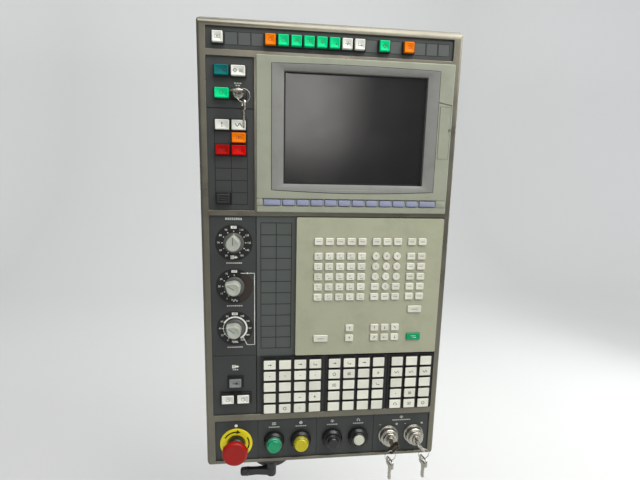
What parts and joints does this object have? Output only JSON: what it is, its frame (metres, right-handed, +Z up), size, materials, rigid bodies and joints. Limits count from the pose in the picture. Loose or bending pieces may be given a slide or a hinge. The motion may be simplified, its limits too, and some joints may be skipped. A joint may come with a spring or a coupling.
{
  "type": "cnc operator control panel",
  "caption": "Wall- or arm-hung operator panel of a machining centre: display unit, keyboard, key matrix, override dials, key locks and stop button on a clamping swivel.",
  "frame": {"origin": "centre of the swivel bracket's rear bolting face, midway between its four bolt holes", "axes": "+Z up, the panel's front faces -Y, +X to the operator's right"},
  "size_m": [0.382, 0.177, 0.755],
  "materials": {
    "bracket_black": "black enamel on cast iron",
    "lever_black": "black enamel, worn at the grip",
    "disc_black": "black enamel on turned steel",
    "screw_steel": "bright zinc",
    "housing_khaki": "satin khaki-grey enamel, fine orange peel",
    "frame_khaki": "satin khaki-grey enamel on cast aluminium",
    "plate_slate": "dark slate matt film on aluminium",
    "tray_black": "black",
    "display_putty": "fine moulded texture",
    "lcd": "anti-glare screen, switched off",
    "case_zinc": "plain zinc-plated sheet",
    "electrics_green": "green boards and grey contact blocks",
    "soft_key_blue": "blue-grey",
    "keyboard_putty": "fine moulded texture",
    "key_ivory": "satin",
    "socket_black": "black",
    "stop_red": "moulded red",
    "lens_green": "clear lens",
    "lens_yellow": "clear lens",
    "button_black": "moulded",
    "button_white": "moulded",
    "lock_chrome": "bright",
    "key_steel": "nickelled",
    "knob_grey": "satin",
    "cap_white": "satin",
    "cap_orange": "satin",
    "cap_green": "satin",
    "cap_teal": "satin",
    "cap_red": "satin",
    "cap_black": "satin",
    "cap_grey": "satin"
  },
  "bodies": {
    "bracket": {"swivel_bracket": "bracket_black"},
    "lever": {"clamp_lever": "lever_black"},
    "panel": {"swivel_disc": "disc_black", "fasteners": "screw_steel", "housing": "housing_khaki", "rear_cover": "housing_khaki", "front_frame": "frame_khaki", "top_plate": "plate_slate", "upper_left_plate": "plate_slate", "override_plate": "plate_slate", "keyboard_carrier": "plate_slate", "matrix_tray": "tray_black", "bottom_plate": "plate_slate", "display_bezel": "display_putty", "screen": "lcd", "control_case": "case_zinc", "electrics": "electrics_green", "keyboard_plate": "keyboard_putty", "button_sockets": "socket_black", "lock_bodies": "lock_chrome"},
    "stop_head": {"stop_head": "stop_red"},
    "start_button": {"start_button": "lens_green"},
    "hold_button": {"hold_button": "lens_yellow"},
    "lock_button": {"lock_button": "button_black"},
    "release_button": {"release_button": "button_white"},
    "card_door": {"card_door": "display_putty"},
    "spindle_knob": {"spindle_knob": "knob_grey"},
    "rapid_knob": {"rapid_knob": "knob_grey"},
    "feed_knob": {"feed_knob": "knob_grey"},
    "power_key": {"power_key": "key_steel"},
    "power_key_ring": {"power_key_ring": "key_steel"},
    "setup_key": {"setup_key": "key_steel"},
    "setup_key_ring": {"setup_key_ring": "key_steel"},
    "edit_key": {"edit_key": "key_steel"},
    "edit_key_ring": {"edit_key_ring": "key_steel"},
    "strip_white_1": {"strip_white_1": "cap_white"},
    "strip_orange_1": {"strip_orange_1": "cap_orange"},
    "strip_green_1": {"strip_green_1": "cap_green"},
    "strip_green_2": {"strip_green_2": "cap_green"},
    "strip_green_3": {"strip_green_3": "cap_green"},
    "strip_green_4": {"strip_green_4": "cap_green"},
    "strip_green_5": {"strip_green_5": "cap_green"},
    "strip_white_2": {"strip_white_2": "cap_white"},
    "strip_white_3": {"strip_white_3": "cap_white"},
    "strip_green_6": {"strip_green_6": "cap_green"},
    "strip_orange_2": {"strip_orange_2": "cap_orange"},
    "teal_button": {"teal_button": "cap_teal"},
    "white_button": {"white_button": "cap_white"},
    "green_button": {"green_button": "cap_green"},
    "alarm_button": {"alarm_button": "cap_white"},
    "wave_button": {"wave_button": "cap_white"},
    "orange_button": {"orange_button": "cap_orange"},
    "red_button_1": {"red_button_1": "cap_red"},
    "red_button_2": {"red_button_2": "cap_red"},
    "black_button": {"black_button": "cap_black"},
    "tool_lamp_key": {"tool_lamp_key": "cap_grey"},
    "tool_keys": {"tool_keys": "cap_white"},
    "matrix_keys": {"matrix_keys": "key_ivory"},
    "soft_keys": {"soft_keys": "soft_key_blue"},
    "keyboard_keys": {"keyboard_keys": "key_ivory"}
  },
  "joints": [
    {"name": "panel_swivel", "type": "hinge", "parent": "bracket", "child": "panel", "pos_m": [0, -0.075, 0.03], "axis": [0, 0, 1], "range_deg": [-45, 45]},
    {"name": "lever_turn", "type": "hinge", "parent": "bracket", "child": "lever", "pos_m": [0, -0.115, 0.012], "axis": [0, 0, 1], "range_deg": [0, 70]},
    {"name": "stop_press", "type": "slide", "parent": "panel", "child": "stop_head", "axis": [0, 1, 0], "range_m": [0, 0.004]},
    {"name": "start_press", "type": "slide", "parent": "panel", "child": "start_button", "axis": [0, 1, 0], "range_m": [0, 0.004], "stiffness_N_per_m": 400},
    {"name": "hold_press", "type": "slide", "parent": "panel", "child": "hold_button", "axis": [0, 1, 0], "range_m": [0, 0.004], "stiffness_N_per_m": 400},
    {"name": "lock_press", "type": "slide", "parent": "panel", "child": "lock_button", "axis": [0, 1, 0], "range_m": [0, 0.004], "stiffness_N_per_m": 400},
    {"name": "release_press", "type": "slide", "parent": "panel", "child": "release_button", "axis": [0, 1, 0], "range_m": [0, 0.004], "stiffness_N_per_m": 400},
    {"name": "card_door_swing", "type": "hinge", "parent": "panel", "child": "card_door", "pos_m": [0.249, -0.1344, 0.5785], "axis": [0, 0, -1], "range_deg": [0, 95]},
    {"name": "spindle_turn", "type": "hinge", "parent": "panel", "child": "spindle_knob", "pos_m": [-0.0568, -0.132, 0.41], "axis": [0, 1, 0], "range_deg": [-150, 150]},
    {"name": "rapid_turn", "type": "hinge", "parent": "panel", "child": "rapid_knob", "pos_m": [-0.0568, -0.132, 0.3425], "axis": [0, 1, 0], "range_deg": [-92, 88]},
    {"name": "feed_turn", "type": "hinge", "parent": "panel", "child": "feed_knob", "pos_m": [-0.0568, -0.132, 0.275], "axis": [0, 1, 0], "range_deg": [-95, 205]},
    {"name": "power_turn", "type": "hinge", "parent": "panel", "child": "power_key", "pos_m": [-0.0475, -0.132, 0.6236], "axis": [0, 1, 0], "range_deg": [0, 90]},
    {"name": "power_ring_hang", "type": "hinge", "parent": "power_key", "child": "power_key_ring", "pos_m": [-0.039, -0.156, 0.6236], "axis": [0, 1, 0], "range_deg": [-90, 0]},
    {"name": "setup_turn", "type": "hinge", "parent": "panel", "child": "setup_key", "pos_m": [0.19725, -0.132, 0.079], "axis": [0, 1, 0], "range_deg": [-90, 0]},
    {"name": "setup_ring_hang", "type": "hinge", "parent": "setup_key", "child": "setup_key_ring", "pos_m": [0.19124, -0.167, 0.07299], "axis": [0, 1, 0], "range_deg": [0, 90]},
    {"name": "edit_turn", "type": "hinge", "parent": "panel", "child": "edit_key", "pos_m": [0.24125, -0.132, 0.079], "axis": [0, 1, 0], "range_deg": [0, 90]},
    {"name": "edit_ring_hang", "type": "hinge", "parent": "edit_key", "child": "edit_key_ring", "pos_m": [0.24726, -0.167, 0.07299], "axis": [0, 1, 0], "range_deg": [-90, 0]},
    {"name": "strip_white_1_press", "type": "slide", "parent": "panel", "child": "strip_white_1", "axis": [0, 1, 0], "range_m": [0, 0.0025], "stiffness_N_per_m": 250},
    {"name": "strip_orange_1_press", "type": "slide", "parent": "panel", "child": "strip_orange_1", "axis": [0, 1, 0], "range_m": [0, 0.0025], "stiffness_N_per_m": 250},
    {"name": "strip_green_1_press", "type": "slide", "parent": "panel", "child": "strip_green_1", "axis": [0, 1, 0], "range_m": [0, 0.0025], "stiffness_N_per_m": 250},
    {"name": "strip_green_2_press", "type": "slide", "parent": "panel", "child": "strip_green_2", "axis": [0, 1, 0], "range_m": [0, 0.0025], "stiffness_N_per_m": 250},
    {"name": "strip_green_3_press", "type": "slide", "parent": "panel", "child": "strip_green_3", "axis": [0, 1, 0], "range_m": [0, 0.0025], "stiffness_N_per_m": 250},
    {"name": "strip_green_4_press", "type": "slide", "parent": "panel", "child": "strip_green_4", "axis": [0, 1, 0], "range_m": [0, 0.0025], "stiffness_N_per_m": 250},
    {"name": "strip_green_5_press", "type": "slide", "parent": "panel", "child": "strip_green_5", "axis": [0, 1, 0], "range_m": [0, 0.0025], "stiffness_N_per_m": 250},
    {"name": "strip_white_2_press", "type": "slide", "parent": "panel", "child": "strip_white_2", "axis": [0, 1, 0], "range_m": [0, 0.0025], "stiffness_N_per_m": 250},
    {"name": "strip_white_3_press", "type": "slide", "parent": "panel", "child": "strip_white_3", "axis": [0, 1, 0], "range_m": [0, 0.0025], "stiffness_N_per_m": 250},
    {"name": "strip_green_6_press", "type": "slide", "parent": "panel", "child": "strip_green_6", "axis": [0, 1, 0], "range_m": [0, 0.0025], "stiffness_N_per_m": 250},
    {"name": "strip_orange_2_press", "type": "slide", "parent": "panel", "child": "strip_orange_2", "axis": [0, 1, 0], "range_m": [0, 0.0025], "stiffness_N_per_m": 250},
    {"name": "teal_press", "type": "slide", "parent": "panel", "child": "teal_button", "axis": [0, 1, 0], "range_m": [0, 0.0025], "stiffness_N_per_m": 250},
    {"name": "white_press", "type": "slide", "parent": "panel", "child": "white_button", "axis": [0, 1, 0], "range_m": [0, 0.0025], "stiffness_N_per_m": 250},
    {"name": "green_press", "type": "slide", "parent": "panel", "child": "green_button", "axis": [0, 1, 0], "range_m": [0, 0.0025], "stiffness_N_per_m": 250},
    {"name": "alarm_press", "type": "slide", "parent": "panel", "child": "alarm_button", "axis": [0, 1, 0], "range_m": [0, 0.0025], "stiffness_N_per_m": 250},
    {"name": "wave_press", "type": "slide", "parent": "panel", "child": "wave_button", "axis": [0, 1, 0], "range_m": [0, 0.0025], "stiffness_N_per_m": 250},
    {"name": "orange_press", "type": "slide", "parent": "panel", "child": "orange_button", "axis": [0, 1, 0], "range_m": [0, 0.0025], "stiffness_N_per_m": 250},
    {"name": "red_button_1_press", "type": "slide", "parent": "panel", "child": "red_button_1", "axis": [0, 1, 0], "range_m": [0, 0.0025], "stiffness_N_per_m": 250},
    {"name": "red_button_2_press", "type": "slide", "parent": "panel", "child": "red_button_2", "axis": [0, 1, 0], "range_m": [0, 0.0025], "stiffness_N_per_m": 250},
    {"name": "black_press", "type": "slide", "parent": "panel", "child": "black_button", "axis": [0, 1, 0], "range_m": [0, 0.0025], "stiffness_N_per_m": 250},
    {"name": "tool_lamp_key_press", "type": "slide", "parent": "panel", "child": "tool_lamp_key", "axis": [0, 1, 0], "range_m": [0, 0.0025], "stiffness_N_per_m": 250},
    {"name": "tool_keys_press", "type": "slide", "parent": "panel", "child": "tool_keys", "axis": [0, 1, 0], "range_m": [0, 0.0025], "stiffness_N_per_m": 300},
    {"name": "matrix_keys_press", "type": "slide", "parent": "panel", "child": "matrix_keys", "axis": [0, 1, 0], "range_m": [0, 0.0025], "stiffness_N_per_m": 2000},
    {"name": "soft_keys_press", "type": "slide", "parent": "panel", "child": "soft_keys", "axis": [0, 1, 0], "range_m": [0, 0.0015], "stiffness_N_per_m": 800},
    {"name": "keyboard_keys_press", "type": "slide", "parent": "panel", "child": "keyboard_keys", "axis": [0, 1, 0], "range_m": [0, 0.0015], "stiffness_N_per_m": 2000}
  ],
  "couplings": [
    {"joint": "power_ring_hang", "follows": "power_turn", "ratio": -1},
    {"joint": "setup_ring_hang", "follows": "setup_turn", "ratio": -1},
    {"joint": "edit_ring_hang", "follows": "edit_turn", "ratio": -1}
  ]
}
